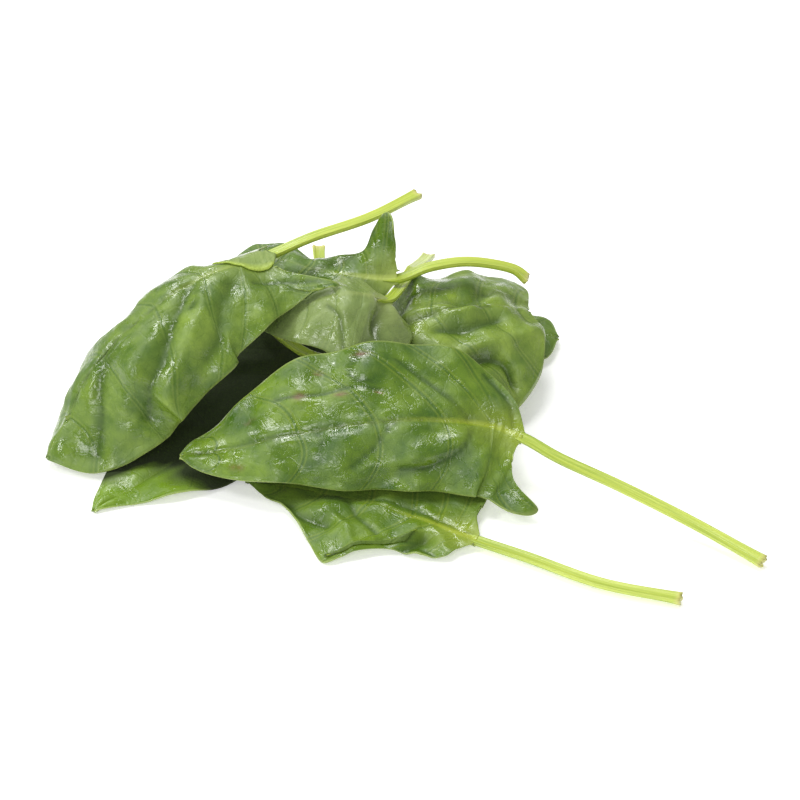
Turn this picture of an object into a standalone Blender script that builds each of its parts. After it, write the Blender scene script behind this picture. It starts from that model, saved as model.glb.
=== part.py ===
"""A loose bunch of fresh spinach, lying as it was dropped on a table: eight whole leaves with their stalks.

Lengths below are in millimetres and become metres where a mesh is made. +Z is up, -Y is the side that the
front leaf shows, and the origin is the middle of the bunch on the table. Each leaf is a thin blade, whose
underside swells into the midrib, and a grooved stalk that carries on from the midrib. The leaves are laid
one after another, lowest first, and each is lifted clear of those that it lies on.
"""

import math
from dataclasses import dataclass

import bmesh
import bpy
import numpy as np
from mathutils import Matrix, Vector, noise
from mathutils.bvhtree import BVHTree

MM = 0.001

# Thickness of the blade, the room left between pieces that touch, and between a stalk and its blade.
SHEET = 0.75
CLEARANCE = 0.45
JOINT_GAP = 1.3
# An underside that comes as near the table as this is pressed flat on it.
PRESS = 1.2
# Mesh points nearer to each other than this are one.
SAME_POINT = 0.02

# The midrib under the blade: depth and half width where the stalk ends, and the least of each at the tip.
RIB_DEPTH = 2.5
RIB_HALF_WIDTH = 2.0
RIB_TIP_DEPTH = 0.9
RIB_TIP_HALF_WIDTH = 0.8
RIB_TAPER = 1.5
RIB_EDGE = 1.15

# The stalk: a little slimmer than the midrib it meets, widening mostly at that end, and flared at the cut
# end over a share of its length. On top is a groove between two shoulders.
STALK_SLIMMER = 0.2
BELLY_SHALLOWER = 0.1
LATE_WIDENING = 4
CUT_FLARE = 0.22
CUT_FLARE_REACH = 0.06
SHOULDER_RISE = 0.35
GROOVE_DIP = 1.2

# Points of each half's margin. A side vein runs to each, forward by VEIN_SLANT of its reach, and where the
# margin's points crowd together the veins still start VEIN_GAP apart.
MARGIN_POINTS = 11
VEINS = MARGIN_POINTS - 1
VEIN_SLANT = 0.6
VEIN_GAP = 2.0

# A row of mesh points that ends in a basal lobe goes out from the midrib first and then bends back.
ROW_BEND = 2.0
ROW_LEAD = 0.5

# The mesh of a blade: rows from vein to vein, and columns from midrib to margin as shares of the width.
ROWS_A_VEIN = 2
COLUMNS = (0.0, 0.09, 0.28, 0.47, 0.65, 0.83, 1.0)
STALK_STATIONS = 16
STALK_SIDES = 12

# How far the skin between two veins stands up, how wide a space between veins needs to be for all of it,
# how much of the width it fills, and how blunt its rise is at the midrib.
QUILT = 1.1
QUILT_GAP = 12.0
QUILT_FILL = 1.15
QUILT_BLUNT = 0.7
# The size of the folds that crumple a blade, how far from the midrib they are at full height, and how far
# apart in the noise two leaves are.
CRUMPLE_SIZE = 26.0
CRUMPLE_FROM = 10.0
SEED_STEP = 7.3
# Over how many rows from the stalk the blade goes from even to its full unevenness.
CALM_ROWS = 4
# Points to which the line of a crease is smoothed.
CREASE_POINTS = 40
# The share of the blade, next to the tip, over which the waves of the margin die out, and how far, in
# radians, the waves of one margin are ahead of the middle.
WAVE_END = 0.15
WAVE_AHEAD = 2.0
# The midrib's line runs on straight past the tip, for a blunt tip whose margins reach past it.
BEYOND_TIP = 12.0
# How far out from the midrib a half blade has turned down by its curl, and the bend, in radians a
# millimetre, that counts as none.
CURL_REACH = 30.0
LEAST_BEND = 1e-5

# Laying a leaf: how far aside it feels for what is under it, from how high, how steep a face still counts,
# how much wider than the stalk the room for it is, and how often the lift is evened out.
FEEL = 2.5
OVERHEAD = 500.0
STEEPEST = 0.35
STALK_ROOM = 0.3
EVENINGS = 40

GREEN = (0.10, 0.26, 0.035)
PALE_GREEN = (0.50, 0.66, 0.16)


@dataclass
class Leaf:
    """One leaf, in millimetres and degrees. Pairs are (left, right), seen from the stalk towards the tip,
    and a row of angles is spread evenly from the stalk to the tip."""

    name: str
    stalk: tuple  # points from the cut end to the blade
    midrib: tuple  # points from the stalk to the tip
    halves: tuple  # each half's margin laid flat: along the midrib from the stalk, and out from it
    roll: tuple = (0, 0)  # how far the blade leans to its right
    fold: tuple = ((0, 0), (0, 0))  # how far each half falls away at the midrib
    curl: tuple = ((30, 20), (30, 20))  # how much further it has turned down 30 mm out
    wave: tuple = (1.2, 24.0, 0.0)  # height, length and phase of the waves along the margin
    crumple: float = 2.0  # height of the folds
    stalk_half_width: float = 1.9
    beneath: str = ""  # a leaf whose stalk this one's stalk runs under
    seed: int = 0
    creases: tuple = ()  # lines along which the flat blade stands up or sinks: points, height and width


# Lowest first. Points are millimetres from one spot on the table under the heap. Where a leaf lies on
# others, it is lifted from here until it is clear of them.
LEAVES = (
    Leaf(
        "hidden",
        stalk=((-48, 83, 3.2), (-28, 76, 3.2), (-5, 66, 3.4)),
        midrib=((-5, 66, 3.4), (15, 60, 4), (35, 57, 5), (54, 56, 4)),
        halves=(
            (
                (0, 2), (0, 7), (-1, 12), (-3, 18), (6, 20), (12, 19),
                (22, 20), (33, 19), (46, 16), (58, 10), (62, 0),
            ),
            (
                (0, 2), (0, 7), (-1, 12), (-3, 18), (6, 20), (12, 19),
                (22, 20), (33, 19), (46, 17), (58, 11), (62, 0),
            ),
        ),
        curl=((10, 10), (10, 10)),
        crumple=1.0,
        seed=1,
    ),
    Leaf(
        "low",
        stalk=((86, -76, 3.2), (62, -69, 3.2), (40, -57, 3.2), (24, -49, 3.4)),
        midrib=((24, -49, 3.4), (6, -39, 3.4), (-12, -31, 3.4), (-30, -25, 3.4), (-50, -19, 3)),
        halves=(
            (
                (0, 2.2), (3, 6), (5, 11), (12, 14), (24, 17), (34, 24),
                (42, 29), (51, 21), (61, 10), (71, 5), (79, 0),
            ),
            (
                (0, 2.2), (2, 5), (5, 10), (6, 18), (13, 23), (22, 22),
                (34, 22), (48, 20), (60, 16), (71, 9), (79, 0),
            ),
        ),
        fold=((0, 0), (-10, -5)),
        curl=((10, 10), (0, 0)),
        crumple=2.4,
        seed=2,
        creases=(
            (((33, -22), (26, -18), (20, -12), (19, -5)), 1.6, 3.0),
            (((30, -26), (20, -17), (14, -8)), -1.4, 3.0),
            (((62, -8), (57, -12), (48, -13)), -1.3, 2.8),
            (((50, -6), (40, -3), (33, 1)), 1.2, 3.0),
            (((15, -3), (9, -6), (5, -9)), 1.0, 2.6),
        ),
    ),
    Leaf(
        "under",
        stalk=((-28, 87, 20), (-28, 74, 14), (-34, 54, 9)),
        midrib=((-34, 54, 9), (-53, 17, 3), (-77, -13, 1.9), (-98, -33, 1.4)),
        halves=(
            (
                (0, 2), (0, 8), (-3, 15), (-5, 21), (5, 24), (20, 24),
                (40, 25), (62, 24), (82, 15), (96, 6), (108, 0),
            ),
            (
                (0, 2), (0, 8), (-3, 15), (-5, 21), (5, 24), (19, 23),
                (37, 25), (57, 25), (80, 17), (100, 7), (108, 0),
            ),
        ),
        curl=((8, 8), (10, 10)),
        crumple=1.2,
        seed=3,
    ),
    Leaf(
        "right",
        stalk=((-44, 82, 8), (-49, 66, 11), (-43, 49, 13), (-26, 34, 12)),
        midrib=((-26, 34, 12), (-6, 34, 21), (12, 37, 27), (29, 43, 27), (43, 48, 21)),
        halves=(
            (
                (0, 2), (0, 8), (-2, 15), (-4, 21), (8, 24), (22, 24),
                (38, 24), (54, 24), (71, 25), (82, 18), (75, 0),
            ),
            (
                (0, 2), (0, 8), (2, 15), (5, 21), (13, 27), (27, 34),
                (46, 41), (64, 40), (74, 27), (77, 11), (75, 0),
            ),
        ),
        fold=((0, 0), (5, 5)),
        curl=((5, 20), (40, 40)),
        crumple=3.0,
        seed=4,
        creases=(
            (((31, -2), (40, -2), (47, 0), (53, 1)), 2.2, 3.0),
            (((48, 16), (59, 16), (69, 13), (75, 11)), 1.8, 3.0),
            (((40, 6), (50, 8), (62, 6)), -1.6, 3.2),
            (((48, 21), (55, 22), (61, 26), (64, 31)), -2.4, 3.0),
            (((62, -8), (56, -4), (50, -3)), -2.0, 3.0),
        ),
    ),
    Leaf(
        "back",
        stalk=((43, 54, 30), (37, 55, 34), (23, 53, 38), (10, 50, 38), (-1, 46, 36)),
        midrib=((-1, 46, 36), (-13, 44, 38), (-28, 48, 38), (-42, 56, 37), (-55, 64, 32)),
        halves=(
            (
                (0, 2), (2, 3), (5, 7), (9, 13), (14, 17), (22, 17),
                (32, 17), (42, 16), (52, 13), (59, 7), (61, 0),
            ),
            (
                (0, 2), (0, 7), (-3, 14), (4, 22), (9, 17), (13, 10),
                (24, 9), (36, 10), (47, 11), (58, 9), (61, 0),
            ),
        ),
        fold=((30, 20, 10, 0), (-70, -10, 5, 0)),
        curl=((60, 50, 30, 20), (0, 0, 30, 20)),
        seed=5,
    ),
    Leaf(
        "centre",
        stalk=((10, 84, 18), (4, 60, 27), (0, 45, 32), (-4, 34, 36)),
        midrib=((-4, 34, 36), (-9, 29, 41), (-17, 26, 44), (-27, 26, 41), (-38, 28, 35), (-50, 31, 29)),
        halves=(
            (
                (0, 2), (0, 6), (-2, 12), (2, 20), (10, 25), (18, 26),
                (24, 24), (31, 17), (40, 12), (50, 6), (58, 0),
            ),
            (
                (0, 2), (0, 5), (-1, 9), (2, 12), (8, 13), (16, 13),
                (24, 13), (32, 12), (41, 10), (50, 6), (58, 0),
            ),
        ),
        fold=((35, 30), (-10, 20)),
        curl=((30, 10), (60, 60)),
        wave=(0.8, 24.0, 0.0),
        beneath="back",
        seed=6,
        creases=(
            (((4, -3), (8, -10), (11, -17)), -1.6, 2.6),
            (((20, -6), (13, -5), (6, -3)), 1.0, 3.0),
        ),
    ),
    Leaf(
        "left",
        stalk=((6, 74, 51), (-10, 60, 51), (-29, 50, 50), (-44, 43, 47)),
        midrib=(
            (-44, 43, 47), (-57, 35, 48), (-69, 28, 47), (-77, 22, 44),
            (-86, 16, 39), (-96, 10, 32), (-103, 4, 23), (-109, -3, 12), (-115, -9, 3),
        ),
        halves=(
            (
                (0, 2), (-1, 9), (-15, 24), (-6, 22), (8, 25), (24, 31),
                (42, 34), (62, 36), (82, 33), (99, 18), (104, 0),
            ),
            (
                (0, 2), (0, 6), (-4, 11), (2, 15), (12, 19), (25, 24),
                (40, 26), (60, 26), (82, 21), (96, 12), (104, 0),
            ),
        ),
        fold=((0, 5, 5), (10, 5, 18, 40)),
        curl=((45, 50, 25), (100, 100, 60)),
        seed=7,
        creases=(
            (((29, -2), (40, -8), (47, -13), (58, -20), (76, -26)), -1.6, 3.0),
            (((48, -9), (62, -14), (75, -17)), 1.5, 3.5),
            (((30, -10), (40, -16), (50, -21), (62, -29)), 1.3, 3.5),
            (((63, -2), (74, -6), (84, -11), (95, -15)), -1.3, 3.0),
            (((17, -8), (24, -14), (30, -21), (41, -26)), -1.5, 3.0),
        ),
    ),
    Leaf(
        "front",
        stalk=((113, -59, 3), (91, -43, 6), (70, -31, 10), (51, -22, 14), (39, -15, 17)),
        midrib=((39, -15, 17), (26, -12, 20), (0, -15, 24), (-32, -18, 21), (-51, -19, 16), (-71, -16, 10)),
        halves=(
            (
                (0, 2), (0, 8), (-6, 14), (-16, 19), (-11, 25), (6, 27),
                (30, 26), (56, 24), (80, 16), (105, 7), (114, 0),
            ),
            (
                (0, 2), (3, 6), (7, 12), (13, 19), (22, 26), (36, 28),
                (54, 28), (71, 26), (88, 19), (108, 7), (114, 0),
            ),
        ),
        roll=(-20, -25, -15),
        fold=((5, 10, 10), (-5, -5, 0)),
        curl=((22, 40, 30), (10, 10, 10)),
        seed=8,
        creases=(
            (((36, -12), (28, -10), (21, -6)), 1.2, 4.0),
            (((42, -19), (33, -18), (25, -16), (18, -11)), -1.2, 3.0),
            (((44, 19), (48, 20)), 1.4, 4.5),
            (((77, -2), (82, -1)), 0.8, 4.0),
        ),
    ),
)


def smooth_through(values, places):
    """A smooth curve through equally spaced values, read at places counted in those values."""
    values = np.asarray(values, float)
    last = len(values) - 1
    places = np.clip(np.asarray(places, float), 0, last)
    left = np.minimum(places.astype(int), last - 1)
    share = (places - left).reshape(places.shape + (1,) * (values.ndim - 1))
    before, start = values[np.maximum(left - 1, 0)], values[left]
    end, after = values[left + 1], values[np.minimum(left + 2, last)]
    leaving = np.where((left == 0).reshape(share.shape), end - start, (end - before) / 2)
    arriving = np.where((left == last - 1).reshape(share.shape), end - start, (after - start) / 2)
    cubed, squared = share**3, share**2
    return (
        (2 * cubed - 3 * squared + 1) * start
        + (cubed - 2 * squared + share) * leaving
        + (3 * squared - 2 * cubed) * end
        + (cubed - squared) * arriving
    )


def spread(values, share):
    """A row of values spread evenly from 0 to 1, read at a share."""
    return smooth_through(values, (len(values) - 1) * np.asarray(share))


def unit(vectors):
    return vectors / np.linalg.norm(vectors, axis=-1, keepdims=True)


class Spine:
    """The line along a leaf's upper face, from the cut end of its stalk to its tip."""

    FINE = 30  # samples between two of its points

    def __init__(self, leaf):
        points = leaf.stalk[:-1] + leaf.midrib
        places = np.arange((len(points) - 1) * self.FINE + 1) / self.FINE
        self.at = smooth_through(points, places)
        steps = np.linalg.norm(np.diff(self.at, axis=0), axis=1)
        run = np.concatenate([[0], np.cumsum(steps)])
        self.stalk_length = run[(len(leaf.stalk) - 1) * self.FINE]
        self.blade_length = run[-1] - self.stalk_length
        self.run = run - self.stalk_length
        self.ahead = unit(np.gradient(self.at, run, axis=0))
        level = unit(np.array([0, 0, 1.0]) - self.ahead * self.ahead[:, 2:])
        right = np.cross(self.ahead, level)
        lean = np.radians(spread(leaf.roll, self.run / self.blade_length))[:, None]
        self.up = level * np.cos(lean) + right * np.sin(lean)
        self.right = np.cross(self.ahead, self.up)
        self.at = np.concatenate([self.at, [self.at[-1] + BEYOND_TIP * self.ahead[-1]]])
        self.run = np.append(self.run, self.run[-1] + BEYOND_TIP)
        self.ahead, self.up, self.right = (
            np.concatenate([vectors, vectors[-1:]]) for vectors in (self.ahead, self.up, self.right)
        )

    def read(self, vectors, x):
        return np.stack([np.interp(x, self.run, vectors[:, k]) for k in range(3)], axis=-1)

    def frame(self, x):
        """Point, right and up at a distance along the blade from the stalk's end."""
        return self.read(self.at, x), unit(self.read(self.right, x)), unit(self.read(self.up, x))


def vein_feet(halves):
    """Where the side veins leave the midrib. Each runs forward as it goes out; the first start close up."""
    feet = np.mean([[x - VEIN_SLANT * y for x, y in half] for half in halves], axis=0)
    least = VEIN_GAP * np.arange(len(feet))
    return np.maximum.accumulate(np.maximum(feet, least))


def flat_place(leaf, length, station, across):
    """Where a mesh point lies on the flat blade: along the midrib, and out from it to the right."""
    reach = np.abs(across)
    margins = [smooth_through(np.array(half) * (length / half[-1][0], 1), station) for half in leaf.halves]
    feet = vein_feet(leaf.halves) * length / leaf.halves[0][-1][0]
    foot = np.interp(station, np.arange(len(feet)), feet)
    margin = np.where((across < 0)[:, None], *margins)
    back = np.clip((foot - margin[:, 0]) / np.maximum(margin[:, 1], 1), 0, 1)
    x = foot + (margin[:, 0] - foot) * reach ** (1 + ROW_BEND * back)
    y = margin[:, 1] * reach * (1 + ROW_LEAD * back * (1 - reach))
    return x, np.copysign(y, across)


def turned_down(leaf, length, x, y):
    """Sideways and downward travel of a point y out on the curved half blade, and its slope there."""
    fold = np.radians(np.where(y < 0, *[spread(f, x / length) for f in leaf.fold]))
    curl = np.radians(np.where(y < 0, *[spread(c, x / length) for c in leaf.curl]))
    bend = curl / CURL_REACH
    bend = np.where(np.abs(bend) < LEAST_BEND, LEAST_BEND, bend)
    slope = fold + bend * np.abs(y)
    sideways = (np.sin(slope) - np.sin(fold)) / bend
    down = (np.cos(fold) - np.cos(slope)) / bend
    return sideways, down, slope


def relief(leaf, length, station, across, x, y):
    """Height off the smooth blade: quilting between veins, waves of the margin, crumpling and creases."""
    reach = np.abs(across)
    feet = vein_feet(leaf.halves)
    gap = np.interp(station, np.arange(VEINS) + 0.5, np.diff(feet))
    quilt = QUILT * np.clip(gap / QUILT_GAP, 0, 1) * np.sin(math.pi * station) ** 2
    quilt *= np.sin(math.pi * np.minimum(reach * QUILT_FILL, 1)) ** QUILT_BLUNT
    height, wavelength, phase = leaf.wave
    turn = 2 * math.pi * x / wavelength + math.radians(phase)
    waves = height * reach**2 * np.sin(turn + WAVE_AHEAD * across)
    waves *= np.clip((length - x) / (WAVE_END * length), 0, 1)
    places = np.stack([x / CRUMPLE_SIZE, y / CRUMPLE_SIZE, np.full(len(x), SEED_STEP * leaf.seed)], axis=1)
    folds = [noise.noise(Vector(place)) for place in places]
    near_midrib = np.clip(np.abs(y) / CRUMPLE_FROM, 0, 1)
    calm = np.clip(station / CALM_ROWS, 0, 1)
    uneven = quilt + waves + leaf.crumple * np.array(folds) * near_midrib
    return calm * uneven + crease_height(leaf.creases, x, y)


def crease_height(creases, x, y):
    """Height of the folds that run along the leaf's own crease lines."""
    height = np.zeros(len(x))
    for points, rise, width in creases:
        line = smooth_through(points, np.linspace(0, len(points) - 1, CREASE_POINTS))
        away = np.min(np.hypot(x[:, None] - line[:, 0], y[:, None] - line[:, 1]), axis=1)
        height += rise * np.exp(-((away / width) ** 2))
    return height


def blade_thickness(length, x, y):
    """The sheet's thickness, and under the midrib the midrib's depth too."""
    along = np.clip(x / length, 0, 1)
    depth = RIB_TIP_DEPTH + (RIB_DEPTH - RIB_TIP_DEPTH) * (1 - along) ** RIB_TAPER
    half_width = RIB_TIP_HALF_WIDTH + (RIB_HALF_WIDTH - RIB_TIP_HALF_WIDTH) * (1 - along)
    bulge = np.sqrt(np.clip(1 - (y / half_width / RIB_EDGE) ** 2, 0, 1))
    return SHEET + (depth - SHEET) * bulge


class LaidLeaf:
    """A leaf's upper face and the line of its stalk as points, before and after it is lifted clear."""

    def __init__(self, leaf):
        self.leaf = leaf
        self.spine = Spine(leaf)
        self.length = self.spine.blade_length
        self.station, self.across, self.quads = blade_grid()
        x, y = flat_place(leaf, self.length, self.station, self.across)
        self.thickness = blade_thickness(self.length, x, y)
        at, right, up = self.spine.frame(x)
        sideways, down, slope = turned_down(leaf, self.length, x, y)
        out = right * np.sign(y)[:, None]
        normal = up * np.cos(slope)[:, None] + out * np.sin(slope)[:, None]
        raised = relief(leaf, self.length, self.station, self.across, x, y)
        self.blade = at + out * sideways[:, None] - up * down[:, None] + normal * raised[:, None]
        self.blade_rise = np.clip(normal[:, 2], STEEPEST, 1)
        self.stalk_x = np.linspace(-self.spine.stalk_length, -JOINT_GAP, STALK_STATIONS)
        self.stalk = self.spine.frame(self.stalk_x)[0]

    def neighbours(self):
        """Pairs of points that share a lift: the blade's mesh edges, and the stalk, joined at the base."""
        edges = {tuple(sorted((q[k], q[k - 1]))) for q in self.quads for k in range(4)}
        first = len(self.blade)
        edges |= {(first + k, first + k + 1) for k in range(STALK_STATIONS - 1)}
        base = [k for k in range(first) if self.station[k] == 0]
        edges |= {(k, first + STALK_STATIONS - 1) for k in base}
        return np.array(sorted(edges))

    def lift_clear(self, under):
        """Raises the leaf smoothly until every point has room above the table and the leaves under it."""
        points = np.concatenate([self.blade, self.stalk])
        depth = np.concatenate([self.thickness, np.full(STALK_STATIONS, RIB_DEPTH)])
        rise = np.concatenate([self.blade_rise, np.ones(STALK_STATIONS)])
        every = [tree for one in under for tree in one.trees]
        free = [tree for one in under if one.leaf.name != self.leaf.beneath for tree in one.trees]
        met = [every] * len(self.blade) + [free] * STALK_STATIONS
        need = np.array([needed_lift(*values) for values in zip(points, depth, rise, met)])
        pairs = self.neighbours()
        count = np.bincount(pairs.ravel(), minlength=len(points))
        lift = need.copy()
        for _ in range(EVENINGS):
            total = np.zeros(len(points))
            np.add.at(total, pairs[:, 0], lift[pairs[:, 1]])
            np.add.at(total, pairs[:, 1], lift[pairs[:, 0]])
            lift = np.maximum(need, 0.5 * lift + 0.5 * total / count)
        # The last row is the tip, one point.
        tip = np.flatnonzero(self.station == VEINS)
        lift[tip] = lift[tip].max()
        self.blade[:, 2] += lift[: len(self.blade)]
        self.stalk[:, 2] += lift[len(self.blade) :]
        self.trees = (self.blade_tree(), self.stalk_tree())

    def blade_tree(self):
        return BVHTree.FromPolygons([Vector(p) for p in self.blade], self.quads)

    def stalk_tree(self):
        """The top of the stalk as a strip of its width."""
        n = STALK_STATIONS
        side = self.spine.frame(self.stalk_x)[1] * (self.leaf.stalk_half_width + STALK_ROOM)
        strip = np.concatenate([self.stalk + side, self.stalk - side])
        quads = [(k, k + 1, n + k + 1, n + k) for k in range(n - 1)]
        return BVHTree.FromPolygons([Vector(p) for p in strip], quads)


def needed_lift(point, depth, rise, under):
    """How far a point must go up to clear the table and whatever is below it or beside it."""
    need = max(0.0, depth - point[2])
    room = depth + CLEARANCE / rise + SHEET * (1 / rise - 1)
    for dx, dy in ((0, 0), (FEEL, 0), (-FEEL, 0), (0, FEEL), (0, -FEEL)):
        for tree in under:
            hit = tree.ray_cast(Vector((point[0] + dx, point[1] + dy, OVERHEAD)), Vector((0, 0, -1)))[0]
            if hit is not None:
                need = max(need, hit.z + room - point[2])
    return need


def blade_grid():
    """Vein station and share of the half width of each mesh point, and the quads between them."""
    rows = VEINS * ROWS_A_VEIN
    columns = 2 * len(COLUMNS) - 2
    grid = bmesh.new()
    bmesh.ops.create_grid(grid, x_segments=rows, y_segments=columns, size=1)
    middle = len(COLUMNS) - 1
    station, across = [], []
    for vertex in grid.verts:
        row = round((vertex.co.x + 1) / 2 * rows)
        column = round((vertex.co.y + 1) / 2 * columns) - middle
        station.append(row / ROWS_A_VEIN)
        across.append(math.copysign(COLUMNS[abs(column)], -column) if column else 0.0)
    quads = [[v.index for v in face.verts] for face in grid.faces]
    grid.free()
    return np.array(station), np.array(across), quads


def material(name, colour, roughness):
    made = bpy.data.materials.new(name)
    made.use_nodes = True
    shader = made.node_tree.nodes["Principled BSDF"]
    shader.inputs["Base Color"].default_value = (*colour, 1)
    shader.inputs["Roughness"].default_value = roughness
    return made


def add_object(name, mesh, collection, surface):
    made = bpy.data.objects.new(name, mesh)
    mesh.materials.append(surface)
    mesh.shade_smooth()
    collection.objects.link(made)
    return made


def add_blade(laid, collection, surface):
    """The open upper face, thickened downward by Solidify, most along the midrib."""
    sheet = bmesh.new()
    for point in laid.blade:
        sheet.verts.new(Vector(point) * MM)
    sheet.verts.ensure_lookup_table()
    for quad in laid.quads:
        sheet.faces.new([sheet.verts[k] for k in quad])
    swell = sheet.verts.layers.float.new("swell")
    for vertex, thickness in zip(sheet.verts, laid.thickness):
        vertex[swell] = (thickness - SHEET) / (RIB_DEPTH - SHEET)
    bmesh.ops.remove_doubles(sheet, verts=sheet.verts, dist=SAME_POINT * MM)
    bmesh.ops.triangulate(sheet, faces=sheet.faces, quad_method="SHORT_EDGE")
    bmesh.ops.recalc_face_normals(sheet, faces=sheet.faces)
    if sum(face.normal.z * face.calc_area() for face in sheet.faces) < 0:
        bmesh.ops.reverse_faces(sheet, faces=sheet.faces)
    mesh = bpy.data.meshes.new(laid.leaf.name + "_blade")
    sheet.to_mesh(mesh)
    sheet.free()
    blade = add_object(laid.leaf.name + "_blade", mesh, collection, surface)
    rib = blade.vertex_groups.new(name="rib")
    for vertex, share in zip(mesh.vertices, mesh.attributes["swell"].data):
        rib.add([vertex.index], share.value, "REPLACE")
    solid = blade.modifiers.new("thickness", "SOLIDIFY")
    solid.thickness = RIB_DEPTH * MM
    solid.offset = -1
    solid.vertex_group = rib.name
    solid.thickness_vertex_group = SHEET / RIB_DEPTH
    upper = len(mesh.vertices)
    solid_mesh = bpy.data.meshes.new_from_object(blade.evaluated_get(bpy.context.evaluated_depsgraph_get()))
    blade.modifiers.clear()
    blade.vertex_groups.clear()
    blade.data = solid_mesh
    press_flat(solid_mesh.vertices[upper:])
    return blade


def press_flat(vertices):
    """Presses the vertices within PRESS of the table flat on it."""
    for vertex in vertices:
        if vertex.co.z < PRESS * MM:
            vertex.co.z = 0


def stalk_section(half_width, depth):
    """Points round a stalk: a shallow groove between two shoulders on top, and a round belly."""
    turn = np.arange(STALK_SIDES) * 2 * math.pi / STALK_SIDES
    across, height = np.cos(turn), np.sin(turn)
    top = SHOULDER_RISE * half_width * height * (1 - GROOVE_DIP * height**2)
    belly = depth * height
    return across * half_width, np.where(height > 0, top, belly)


def add_stalk(laid, collection, surface):
    """A loft from the flared cut end to the width of the midrib."""
    leaf, x = laid.leaf, laid.stalk_x
    _, right, up = laid.spine.frame(x)
    along = (x - x[0]) / (x[-1] - x[0])
    flare = 1 + CUT_FLARE * np.exp(-along / CUT_FLARE_REACH)
    end_half_width = RIB_HALF_WIDTH - STALK_SLIMMER
    widen = leaf.stalk_half_width + (end_half_width - leaf.stalk_half_width) * along**LATE_WIDENING
    tube = bmesh.new()
    rings = []
    for k in range(STALK_STATIONS):
        across, height = stalk_section(widen[k] * flare[k], (RIB_DEPTH - BELLY_SHALLOWER) * flare[k])
        ring = laid.stalk[k] + across[:, None] * right[k] + height[:, None] * up[k]
        rings.append([tube.verts.new(Vector(p) * MM) for p in ring])
    for ring, following in zip(rings, rings[1:]):
        for k in range(STALK_SIDES):
            tube.faces.new((ring[k - 1], ring[k], following[k], following[k - 1]))
    tube.faces.new(rings[0])
    tube.faces.new(rings[-1])
    bmesh.ops.recalc_face_normals(tube, faces=tube.faces)
    bmesh.ops.triangulate(tube, faces=tube.faces)
    mesh = bpy.data.meshes.new(leaf.name + "_stalk")
    tube.to_mesh(mesh)
    tube.free()
    press_flat(mesh.vertices)
    return add_object(leaf.name + "_stalk", mesh, collection, surface)


def build():
    for old in list(bpy.data.objects):
        bpy.data.objects.remove(old)
    bunch = bpy.data.collections.new("spinach_bunch")
    bpy.context.scene.collection.children.link(bunch)
    green = material("blade_green", GREEN, 0.4)
    pale = material("stalk_green", PALE_GREEN, 0.45)
    laid = []
    for leaf in LEAVES:
        one = LaidLeaf(leaf)
        one.lift_clear(laid)
        laid.append(one)
    pieces = []
    for one in laid:
        pieces += [add_blade(one, bunch, green), add_stalk(one, bunch, pale)]
    centre(pieces)


def centre(pieces):
    """Moves the bunch so that the middle of its outline is over the origin."""
    corners = [vertex.co for piece in pieces for vertex in piece.data.vertices]
    shift = Vector([-(min(c[k] for c in corners) + max(c[k] for c in corners)) / 2 for k in (0, 1)] + [0])
    for piece in pieces:
        piece.data.transform(Matrix.Translation(shift))


build()
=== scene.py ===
"""A loose bunch of fresh spinach, wet from washing, heaped on a pale table.

Lengths in the leaves' values are millimetres, and meshes are in metres. Each leaf is laid as in the solids:
its flat blade is folded and curled along the line of its midrib, and lifted clear of the leaves under it.
"""

import math
from dataclasses import dataclass

import bmesh
import bpy
import numpy as np
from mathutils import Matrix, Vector, noise
from mathutils.bvhtree import BVHTree


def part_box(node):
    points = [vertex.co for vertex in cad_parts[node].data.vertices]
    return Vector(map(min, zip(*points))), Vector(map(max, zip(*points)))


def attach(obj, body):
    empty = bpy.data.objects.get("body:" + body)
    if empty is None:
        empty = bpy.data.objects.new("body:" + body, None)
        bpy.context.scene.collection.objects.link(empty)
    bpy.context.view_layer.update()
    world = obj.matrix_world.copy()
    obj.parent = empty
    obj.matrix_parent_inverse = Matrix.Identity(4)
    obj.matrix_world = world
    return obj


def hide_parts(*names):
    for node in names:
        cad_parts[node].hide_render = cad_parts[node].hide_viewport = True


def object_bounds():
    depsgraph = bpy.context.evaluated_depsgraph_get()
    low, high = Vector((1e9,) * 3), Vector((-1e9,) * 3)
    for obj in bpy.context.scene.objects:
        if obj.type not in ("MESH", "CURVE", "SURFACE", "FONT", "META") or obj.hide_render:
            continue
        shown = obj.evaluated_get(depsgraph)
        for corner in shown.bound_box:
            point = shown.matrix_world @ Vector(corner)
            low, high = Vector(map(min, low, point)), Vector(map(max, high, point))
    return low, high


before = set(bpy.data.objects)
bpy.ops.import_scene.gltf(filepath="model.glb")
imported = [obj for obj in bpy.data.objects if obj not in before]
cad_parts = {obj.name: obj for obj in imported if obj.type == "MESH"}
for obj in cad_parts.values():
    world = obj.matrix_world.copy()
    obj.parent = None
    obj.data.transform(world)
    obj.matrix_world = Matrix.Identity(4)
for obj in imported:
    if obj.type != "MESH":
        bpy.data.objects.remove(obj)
cad_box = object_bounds()
MM = 0.001

# The hidden leaf
# The lowest leaf at the back: only one lobe of it shows past the right leaf. Like every leaf here it is one
# living piece, a thin glossy blade on a grooved stalk that goes on as the midrib. It lies on the table.


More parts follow.
